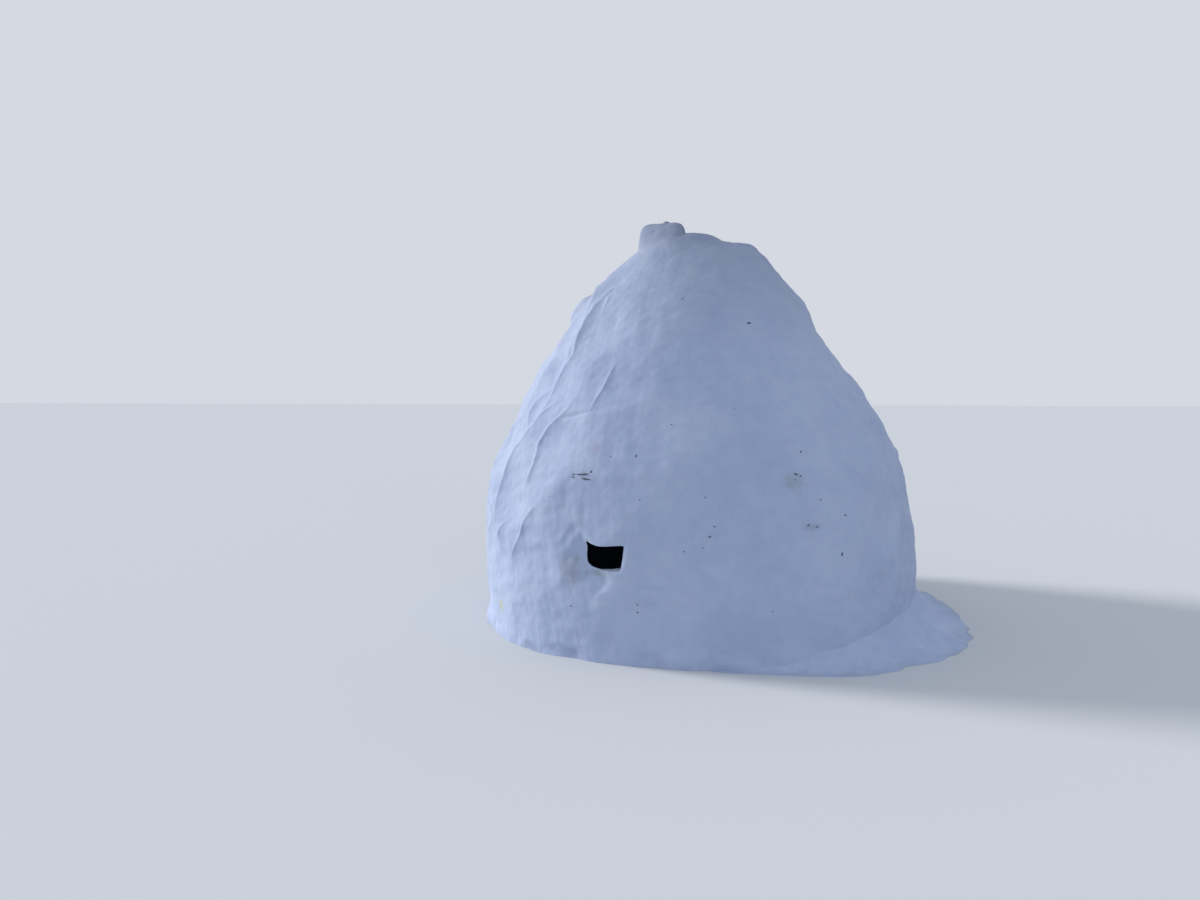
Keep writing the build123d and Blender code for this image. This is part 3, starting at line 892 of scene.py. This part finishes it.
def snow(name, lumpy, colours=None, stains_and_shade=()):
    """Snow packed by hand: paler and bluer patches, smears as wide as a hand, clots and coarse grain."""
    material, tree = new_material(name)
    place = add(tree, "ShaderNodeTexCoord").outputs["Object"]
    skin = {}
    for key, values in SKIN.items():
        inputs = dict(zip(("Scale", "Detail", "Roughness", "Distortion"), values))
        skin[key] = add(tree, "ShaderNodeTexNoise", {"Vector": place, **inputs}).outputs["Fac"]

    own = bpy.context.scene.igloo_colours
    light, shade = [(*linear(c), 1) for c in colours or (own.snow_light, own.snow_shade)]
    mottle = add(tree, "ShaderNodeMath", {0: skin["patch"], 1: 0.55, 2: skin["broad"]},
                 operation="MULTIPLY_ADD").outputs[0]
    share = add(tree, "ShaderNodeMapRange", {"Value": mottle, 1: 0.58, 2: 0.98, 3: 0.0, 4: 1.0}).outputs[0]
    colour = add(tree, "ShaderNodeMix", {0: share, 6: light, 7: shade}, data_type="RGBA").outputs[2]
    # Painted light and shade by height: lighter at the foot, darker towards the crown
    colour = paint_light_and_shade(tree, place, colour)
    for values in stains_and_shade:
        colour = mix_stain_and_shade(tree, place, skin["ragged"], colour, *values)

    bump = None
    for key, strength, distance in (
        ("smears", 0.5, 0.0030 * lumpy),
        ("clots", 0.5, 0.0026 * lumpy),
        ("grain", 0.6, 0.0012),
    ):
        inputs = {"Height": skin[key], "Strength": strength, "Distance": distance}
        bump = add(tree, "ShaderNodeBump", {**inputs, "Normal": bump} if bump else inputs).outputs[0]
    matte = {"Value": skin["grain"], 1: 0.3, 2: 0.7, 3: 0.72, 4: 0.92}
    roughness = add(tree, "ShaderNodeMapRange", matte).outputs[0]
    shader = add(tree, "ShaderNodeBsdfPrincipled", {
        "Base Color": colour, "Roughness": roughness, "Normal": bump, "IOR": 1.31, "Specular IOR Level": 0.35,
        "Subsurface Weight": 0.15, "Subsurface Radius": (0.012, 0.016, 0.022), "Subsurface Scale": 1.0,
    })
    add(tree, "ShaderNodeOutputMaterial", {"Surface": shader.outputs[0]})
    return material


def packed_snow(name):
    """Snow pressed and smoothed with wet gloves: a dense, matte skin that takes stains and painted shade."""
    return snow(name, 1.0, stains_and_shade=STAINS_AND_SHADE)


def rolled_snow(name):
    """Snow rolled into clods: the wall's snow with a lumpier skin."""
    return snow(name, 1.4)


def banked_snow(name):
    """Loose snow thrown against the foot: the same snow with bigger lumps."""
    return snow(name, 1.8)


def painted_shade_inside(name):
    """Painted shade inside: the wall's snow made much darker, so the hollow seen through the window stays
    dark.
    """
    colours = bpy.context.scene.igloo_colours
    return snow(name, 1.4, (colours.inside, colours.inside_shade))


def dirt(name):
    """Bits of bark, soil and grass: dark, matte and fibrous, with flecks about 3 mm apart."""
    material, tree = new_material(name)
    place = add(tree, "ShaderNodeTexCoord").outputs["Object"]
    fibre = add(tree, "ShaderNodeTexNoise", {"Vector": place, "Scale": 330, "Detail": 3}).outputs["Fac"]
    mixed = {0: fibre, 6: (*linear("#343A47"), 1), 7: (*linear("#5F687A"), 1)}
    colour = add(tree, "ShaderNodeMix", mixed, data_type="RGBA").outputs[2]
    bump = add(tree, "ShaderNodeBump", {"Height": fibre, "Strength": 0.5, "Distance": 0.001}).outputs[0]
    shader = add(tree, "ShaderNodeBsdfPrincipled", {"Base Color": colour, "Roughness": 0.85, "Normal": bump})
    add(tree, "ShaderNodeOutputMaterial", {"Surface": shader.outputs[0]})
    return material


def material_once(make):
    """The material that a function makes, made the first time it is asked for.

    Its name is the function's with a word before it, because the frame's own materials have the plain names.
    """
    name = "dressed_" + make.__name__
    return bpy.data.materials.get(name) or make(name)


class IglooSizes(bpy.types.PropertyGroup):
    """The sizes that a user would change"""

    axis_x: bpy.props.FloatProperty(
        name="Dome axis", description="Where the dome's axis stands along X", default=-0.1975, unit="LENGTH")
    row: bpy.props.FloatProperty(
        name="Row height", description="Height of a row of the wall's faces", default=0.012, min=0.006,
        unit="LENGTH")
    eye_height: bpy.props.FloatProperty(
        name="Eye height", description="Height of the camera", default=1.68, unit="LENGTH")
    eye_distance: bpy.props.FloatProperty(
        name="Eye distance", description="Camera's distance in front of the dome's axis", default=6.70,
        unit="LENGTH")


class IglooColours(bpy.types.PropertyGroup):
    """The colours that a user would change"""

    # The snow's colours are partly its own and partly painted dusk shade: white snow made darker and bluer
    snow_light: bpy.props.StringProperty(
        name="Snow", description="sRGB hex value of the packed snow", default="#9EABC5")
    snow_shade: bpy.props.StringProperty(
        name="Snow shade", description="sRGB hex value of its bluer patches", default="#93A1BE")
    # The inside's colours are painted shade, far darker than snow, so the hollow stays dark
    inside: bpy.props.StringProperty(
        name="Inside", description="sRGB hex value of the glazed snow inside", default="#4E5B74")
    inside_shade: bpy.props.StringProperty(
        name="Inside shade", description="sRGB hex value of its darker patches", default="#48546B")
    floor: bpy.props.StringProperty(
        name="Floor", description="sRGB hex value of the studio floor", default="#B9BDC2")
    backdrop: bpy.props.StringProperty(
        name="Backdrop", description="sRGB hex value of what is seen behind the floor", default="#D4D9E2")


class IGLOO_OT_wall(bpy.types.Operator):
    """Dress the blocks of the wall and its key block"""

    bl_idname = "igloo.wall"
    bl_label = "Wall"

    def execute(self, context):
        sheets = wall_sheets()
        # The inside's material is painted shade, so the hollow stays dark
        outside, inside = material_once(packed_snow), material_once(painted_shade_inside)
        window = dict(outline=smooth_outline(WINDOW, 72), flare=WINDOW_FLARE, near=-1.62, far=-0.95,
                      roughness=0.003, seed=31)
        door = dict(outline=door_outline(28), flare=(0, 0, 0), near=0.90, far=1.80, roughness=0.008, seed=32)
        cuts = dict.fromkeys(["course_1_back_left", "course_1_back_right", "course_2_back_left",
                              "course_2_back_right", "course_3_back"], door)
        cuts["course_2_front_left"] = window
        for course, joints in enumerate(COURSE_JOINTS):
            for start, end in zip(joints, joints[1:] + [joints[0] + 360]):
                node = f"course_{course + 1}_{SIDES[round((start + end) / 2 / 45) % 8]}"
                # The window's cut faces take the inside's painted shade, so its throat looks dark; the
                # doorway's take the wall's snow
                hidden = outside if cuts.get(node) is door else inside
                mesh = block_mesh(node, sheets, course, start, end)
                piece = put("snow_" + node, mesh, [outside, inside, hidden], node, slot="packed_snow")
                if node in cuts:
                    cut_away(piece, cutter(**cuts[node]))
                    wall_normals(piece.data, sheets)
        mesh = key_block_mesh("key_block", sheets)
        put("snow_key_block", mesh, [outside, inside, inside], "key_block", slot="packed_snow")
        return {"FINISHED"}


# The clods on the crown, each with its middle, from the dome's axis, and its faces: outward direction and
# distance. Their fronts carry the wall's slope on upwards.
KNOB = ((-0.250, -0.08, 2.58), [
    (0.07, 0, 1, 0.233), (-1, 0, 0.05, 0.164), (1, 0, 0.10, 0.190), (0, -0.77, 0.64, 0.308),
    (-0.54, -0.54, 0.64, 0.232), (0, 1, 0.20, 0.290), (-0.6, 0.6, 0.40, 0.250), (0.5, 0.6, 0.50, 0.300),
    (0, 0, -1, 0.150),
])
RIDGE = ((0.030, -0.09, 2.56), [
    (0, 0, 1, 0.158), (0.50, 0, 0.87, 0.172), (1, 0, 0, 0.240), (-1, 0, 0, 0.340), (0, -0.77, 0.64, 0.322),
    (-0.45, -0.60, 0.66, 0.405), (0.45, -0.60, 0.66, 0.303), (0, 1, 0.30, 0.300), (0, 0, -1, 0.150),
])
RIDGE_END = ((0.240, -0.06, 2.52), [
    (0, 0, 1, 0.148), (0.45, 0, 0.89, 0.148), (1, 0, 0.20, 0.178), (-1, 0, 0, 0.200), (0, -0.77, 0.64, 0.336),
    (0.50, -0.50, 0.70, 0.236), (0, 1, 0.30, 0.270), (0.5, 0.6, 0.50, 0.250), (0, 0, -1, 0.150),
])
CLOD_LUMPS = [(0.013, 0.13), (0.004, 0.05)]  # depth and size of the lumps on them
CLOD_POWER = 8  # of the mean that joins their faces: the higher, the sharper their edges
# Crumbs that show on the outline of the crown: middle, from the dome's axis, and radius
CRUMBS = [
    (-0.212, -0.06, 2.819, 0.020), (-0.168, -0.05, 2.815, 0.015), (-0.120, -0.02, 2.800, 0.018),
    (0.060, 0.00, 2.716, 0.014), (0.330, -0.05, 2.655, 0.016), (0.440, -0.02, 2.556, 0.014),
]


class IGLOO_OT_crown(bpy.types.Operator):
    """Set the rolled clods on the crown and scatter crumbs round them"""

    bl_idname = "igloo.crown"
    bl_label = "Crown"

    def execute(self, context):
        rolled = material_once(rolled_snow)
        knob = squared_clod(90, 170, *KNOB, CLOD_LUMPS, 41)
        put("snow_crown_knob", joined_forms("crown_knob", [knob]), [rolled], "crown_knob", slot="rolled_snow")
        ridges = [
            squared_clod(84, 160, *clod, CLOD_LUMPS, 51 + i) for i, clod in enumerate((RIDGE, RIDGE_END))
        ]
        put("snow_crown_ridge", joined_forms("crown_ridge", ridges), [rolled], "crown_ridge",
            slot="rolled_snow")

        # Crumbs that rolled to a stop behind the right-hand rim, where they sank in, and those on the outline
        rng = np.random.default_rng(61)
        count = 16
        turns = rng.uniform(15, 100, count)
        places, normals = on_wall(turns, rng.uniform(2.36, 2.60, count))
        sizes = 0.014 + 0.026 * rng.random(count) ** 2
        sunk = places - normals * (sizes * 0.62)[:, None]
        middles = np.concatenate([sunk, np.array(CRUMBS)[:, :3] + [axis_x(), 0, 0]])
        sizes = np.concatenate([sizes, np.array(CRUMBS)[:, 3]])
        forms = []
        for i, (middle, size) in enumerate(zip(middles, sizes)):
            radii = size * rng.uniform(0.75, 1.25, 3)
            forms.append(rough_ball(8, 12, middle, radii, 2.3, [(size * 0.5, size * 1.2)], 70 + i))
        put("snow_crumbs", joined_forms("crumbs", forms), [rolled], slot="rolled_snow")
        return {"FINISHED"}


LUMP_AT = (165, 2.21)  # direction and height of the lump on the left shoulder
LUMP_DROP = 0.75  # how far the line inwards to its middle goes down, at the dome's axis
LUMP_DEPTH = 0.112  # of its middle along that line
LUMP_RADII = (0.195, 0.275, 0.195)


class IGLOO_OT_shoulder(bpy.types.Operator):
    """Press the lump onto the left shoulder"""

    bl_idname = "igloo.shoulder"
    bl_label = "Shoulder"

    def execute(self, context):
        at = on_dome(*LUMP_AT)[0]
        inwards = Vector((axis_x() - at[0], -at[1], -LUMP_DROP)).normalized()
        centre = at + np.array(inwards) * LUMP_DEPTH
        rings = rough_ball(80, 130, centre, LUMP_RADII, 2.1, [(0.034, 0.22), (0.012, 0.08)], 81)
        put("snow_shoulder_lump", joined_forms("shoulder_lump", [rings]), [material_once(rolled_snow)],
            "shoulder_lump", slot="rolled_snow")
        return {"FINISHED"}


# The bank's direction, height and width along the wall
BANK = np.array([
    (-86, 0.008, 0.020), (-74, 0.055, 0.090), (-62, 0.130, 0.180), (-50, 0.220, 0.260), (-34, 0.330, 0.330),
    (-14, 0.410, 0.368), (6, 0.420, 0.372), (28, 0.370, 0.345), (42, 0.265, 0.280), (54, 0.145, 0.190),
    (64, 0.060, 0.090), (73, 0.008, 0.020),
])
BANK_BULGES = [(0.07, 0.50), (0.04, 0.16)]  # share of the width by which its toe waves in and out, and length
BANK_WAVES = [(0.012, 0.35), (0.005, 0.12)]  # height and length of the waves on it
BANK_TUCK = 0.050  # how far its upper edge is drawn into the wall
BANK_ROOT = 0.060  # how far its hidden side lies inside the wall
BANK_LUMPS = (0.6, 0.8)  # how far outwards and upwards its lumps stand


class IGLOO_OT_bank(bpy.types.Operator):
    """Bank loose snow against the right-hand foot"""

    bl_idname = "igloo.bank"
    bl_label = "Bank"

    def execute(self, context):
        # Sections square to the wall: a hollow quarter of an ellipse that comes out of the wall and meets the
        # ground level, closed underneath. It tapers to nothing at both ends.
        turns, height, width = along_beds(BANK, np.linspace(0, len(BANK) - 1, 300)).T[:, :, None]
        quarter = np.linspace(0, pi / 2, 50)
        toe = on_dome(turns[:, 0], np.zeros(len(turns)))
        swollen = (1 + rolling(toe, BANK_BULGES, 94) + 0.05 * (clods(toe, 0.19, 96) - 0.5))[:, None]
        tuck = np.minimum(height, BANK_TUCK) * (1 - np.sin(quarter)) ** 2
        out = width * swollen * (1 - np.cos(quarter)) - tuck
        up = height * (1 - np.sin(quarter))
        grid_turns = np.broadcast_to(turns, up.shape)
        wall = on_dome(grid_turns.ravel(), up.ravel()).reshape(*up.shape, 3)
        c, s = np.cos(np.radians(grid_turns)), np.sin(np.radians(grid_turns))
        outwards = np.stack([c, s, 0 * c], axis=-1)
        slope = wall + outwards * out[..., None]
        slope[..., 2] = up
        swell = rolling(slope, BANK_WAVES, 91) + 0.014 * (clods(slope, 0.12, 93) - 0.5)
        fade = np.sin(quarter * 2) ** 0.5 * np.minimum(1, height * 7)
        level, rise = BANK_LUMPS
        slope = slope + (outwards * level + [0, 0, rise]) * (swell * fade)[..., None]
        slope[..., 2] = np.maximum(slope[..., 2], 0.001)
        slope[:, -1, 2] = 0
        inside = wall[:, :1] - outwards[:, :1] * BANK_ROOT
        low = inside * [1, 1, 0]
        under = low + (slope[:, -1:] - low) * np.linspace(0, 1, 8)[None, :-1, None]
        rings = np.concatenate([slope, under[:, ::-1], inside * [1, 1, 0.96]], axis=1)
        put("snow_bank_loose", joined_forms("bank", [rings]), [material_once(banked_snow)], "snow_bank",
            slot="banked_snow")
        return {"FINISHED"}


def wall_frame(places, normals):
    """For each place on the wall, the level direction along it and the steepest one up it."""
    level = np.cross([0, 0, 1.0], normals)
    level /= np.linalg.norm(level, axis=-1, keepdims=True)
    return level, np.cross(normals, level)


class IGLOO_OT_dirt(bpy.types.Operator):
    """Stick chips of dirt and straws to the wall"""

    bl_idname = "igloo.dirt"
    bl_label = "Dirt"

    def execute(self, context):
        turns, heights, lengths, tilts = np.array(CHIPS, float).T
        places, normals = on_wall(turns, heights)
        level, steep = wall_frame(places, normals)
        tilt = np.radians(tilts)[:, None]
        along = level * np.cos(tilt) + steep * np.sin(tilt)
        across = np.cross(normals, along)
        forms = []
        for i, length in enumerate(lengths):
            flake = rough_ball(7, 12, (0, 0, 0), (0.45, 0.22, 0.07), 2.4, [(0.15, 0.45)], 101 + i) * length
            forms.append(places[i] + flake @ np.array([along[i], across[i], normals[i]]))
        put("dirt_chips", joined_forms("chips", forms), [material_once(dirt)])

        # A straw is a tube along a line on the wall, thinner towards its ends and uneven
        share = np.linspace(0, 1, 25)
        turn = np.arange(STRAW_SIDES) * 2 * pi / STRAW_SIDES
        forms = []
        for i, (*ends, thick) in enumerate(STRAWS):
            turns, heights = (np.interp(share, [0, 0.5, 1], part) for part in np.array(ends).T)
            line, normals = on_wall(turns, heights)
            plain = on_dome(turns, heights)
            line = plain + (line - plain).mean(axis=0)
            level, steep = wall_frame(line, normals)
            girth = thick / 2 * (0.35 + np.sin(pi * share) ** 0.4) * (1 + 0.3 * waves(line, 0.02, 121 + i))
            rings = steep[:, None] * np.cos(turn)[:, None] + normals[:, None] * np.sin(turn)[:, None]
            forms.append(line[:, None] + rings * girth[:, None, None])
        put("dirt_straws", joined_forms("straws", forms), [material_once(dirt)])
        return {"FINISHED"}


def seen_rays(tree):
    """1 for what the camera sees, straight or by a gloss or through a clear piece, and 0 for other light."""
    ray = add(tree, "ShaderNodeLightPath").outputs
    seen = ray["Is Camera Ray"]
    for other in ("Is Glossy Ray", "Is Transmission Ray"):
        seen = add(tree, "ShaderNodeMath", {0: seen, 1: ray[other]}, operation="MAXIMUM").outputs[0]
    return seen


# The lamps: where each shines from, how wide it looks in degrees, its strength and its colour. The first is
# low and wide, from the left and a little behind, so that it grazes the left flank. The second is weak.
LAMPS = {
    "low_light_left": ((-0.90, 0.22, 0.34), 14, 4.20, "#FFF8F2"),
    "fill_front": ((0.30, -0.90, 0.32), 40, 0.60, "#EEF3FF"),
}
SOFT_COLOUR = "#E6ECF6"  # of the light from all sides
SOFT_LIGHT = 0.92  # its strength
FLOOR_REACH = 60.0
LENS = 27.0  # mm
SENSOR = 36.0  # mm wide
LOOK_DOWN = 4.32  # degrees
LOOK_LEFT = 5.99  # degrees


class IGLOO_OT_stage(bpy.types.Operator):
    """Set the floor, the light and the camera"""

    bl_idname = "igloo.stage"
    bl_label = "Stage"

    def execute(self, context):
        scene, sizes, colours = context.scene, context.scene.igloo_sizes, context.scene.igloo_colours
        material, tree = new_material("studio_floor")
        shader = add(tree, "ShaderNodeBsdfPrincipled", {
            "Base Color": (*linear(colours.floor), 1), "Roughness": 0.9, "Specular IOR Level": 0.0,
        })
        add(tree, "ShaderNodeOutputMaterial", {"Surface": shader.outputs[0]})
        corners = np.array([(-1, -1, 0), (1, -1, 0), (1, 1, 0), (-1, 1, 0)]) * FLOOR_REACH
        mesh = new_mesh("floor", corners, [(np.array([[0, 1, 2, 3]]), 0)])
        mesh.materials.append(material)
        floor = bpy.data.objects.new("floor", mesh)
        scene.collection.objects.link(floor)

        world = bpy.data.worlds.new("studio")
        world.use_nodes = True
        tree = world.node_tree
        tree.nodes.clear()
        soft = add(tree, "ShaderNodeBackground", {"Color": (*linear(SOFT_COLOUR), 1), "Strength": SOFT_LIGHT})
        seen = add(tree, "ShaderNodeBackground", {"Color": (*linear(colours.backdrop), 1), "Strength": 1.0})
        shown = add(tree, "ShaderNodeMixShader", {0: seen_rays(tree), 1: soft.outputs[0], 2: seen.outputs[0]})
        add(tree, "ShaderNodeOutputWorld", {"Surface": shown.outputs[0]})
        scene.world = world

        for name, (towards, spread, strength, colour) in LAMPS.items():
            light = bpy.data.lights.new(name, "SUN")
            light.angle, light.energy, light.color = radians(spread), strength, linear(colour)
            lamp = bpy.data.objects.new(name, light)
            lamp.rotation_euler = Vector(towards).to_track_quat("Z", "Y").to_euler()
            scene.collection.objects.link(lamp)

        camera = bpy.data.objects.new("camera", bpy.data.cameras.new("camera"))
        camera.data.lens, camera.data.sensor_width = LENS, SENSOR
        camera.location = (sizes.axis_x, -sizes.eye_distance, sizes.eye_height)
        camera.rotation_euler = (radians(90 - LOOK_DOWN), 0, radians(LOOK_LEFT))
        scene.collection.objects.link(camera)
        scene.camera = camera
        scene.view_settings.view_transform = "Standard"
        return {"FINISHED"}


class IGLOO_PT_panel(bpy.types.Panel):
    """Lists the igloo's sizes, colours and steps"""

    bl_idname = "IGLOO_PT_panel"
    bl_label = "Igloo"
    bl_space_type = "VIEW_3D"
    bl_region_type = "UI"
    bl_category = "Igloo"

    def draw(self, context):
        for group in (context.scene.igloo_sizes, context.scene.igloo_colours):
            for name in group.__annotations__:
                self.layout.prop(group, name)
        for operator in OPERATORS:
            self.layout.operator(operator.bl_idname)


OPERATORS = (IGLOO_OT_wall, IGLOO_OT_crown, IGLOO_OT_shoulder, IGLOO_OT_bank, IGLOO_OT_dirt, IGLOO_OT_stage)
CLASSES = (IglooSizes, IglooColours, *OPERATORS, IGLOO_PT_panel)


def register():
    for cls in CLASSES:
        bpy.utils.register_class(cls)
    bpy.types.Scene.igloo_sizes = bpy.props.PointerProperty(type=IglooSizes)
    bpy.types.Scene.igloo_colours = bpy.props.PointerProperty(type=IglooColours)


def unregister():
    del bpy.types.Scene.igloo_colours
    del bpy.types.Scene.igloo_sizes
    for cls in reversed(CLASSES):
        bpy.utils.unregister_class(cls)


def main():
    register()
    for step in ("wall", "crown", "shoulder", "bank", "dirt", "stage"):
        getattr(bpy.ops.igloo, step)()


if __name__ == "__main__":
    main()
